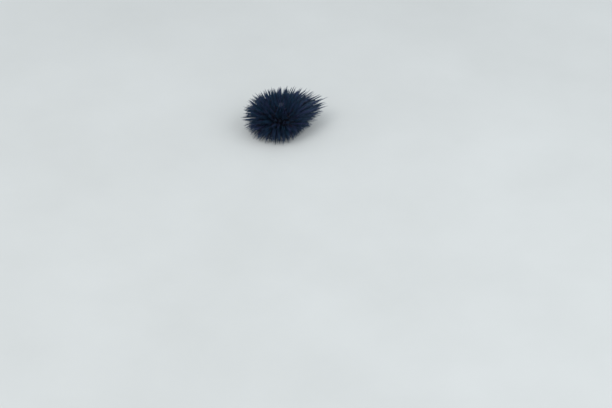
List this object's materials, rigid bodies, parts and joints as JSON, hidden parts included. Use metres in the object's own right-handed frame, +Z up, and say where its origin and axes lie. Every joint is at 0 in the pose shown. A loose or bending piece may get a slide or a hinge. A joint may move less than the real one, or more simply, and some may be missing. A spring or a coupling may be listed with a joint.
{
  "type": "purple sea urchin",
  "caption": "Life-size purple sea urchin, a low round shell covered all over in pointed radiating spines, standing on the short spines round its mouth.",
  "frame": {"origin": "on the floor, under the middle of the animal's outline", "axes": "+Z up through the apex of the shell, +X towards the side with the longest spines, which is the right of the picture, +Y away from the picture's camera"},
  "size_m": [0.0932, 0.0822, 0.044],
  "materials": {
    "spiny_shell": "near-black violet-blue spines with a low gloss, over dark skin",
    "apical_plates": "dull dark violet plates with paler edges",
    "periproct_skin": "pale leathery membrane with small plates",
    "mouth_membrane": "soft leathery reddish-brown membrane",
    "teeth": "smooth ivory white"
  },
  "bodies": {
    "root": {"ambulacrum_1": "spiny_shell", "ambulacrum_2": "spiny_shell", "ambulacrum_3": "spiny_shell", "ambulacrum_4": "spiny_shell", "ambulacrum_5": "spiny_shell", "interambulacrum_1": "spiny_shell", "interambulacrum_2": "spiny_shell", "interambulacrum_3": "spiny_shell", "interambulacrum_4": "spiny_shell", "interambulacrum_5": "spiny_shell", "apical_disc": "apical_plates", "periproct": "periproct_skin", "peristome": "mouth_membrane", "lantern_teeth": "teeth"}
  },
  "joints": []
}
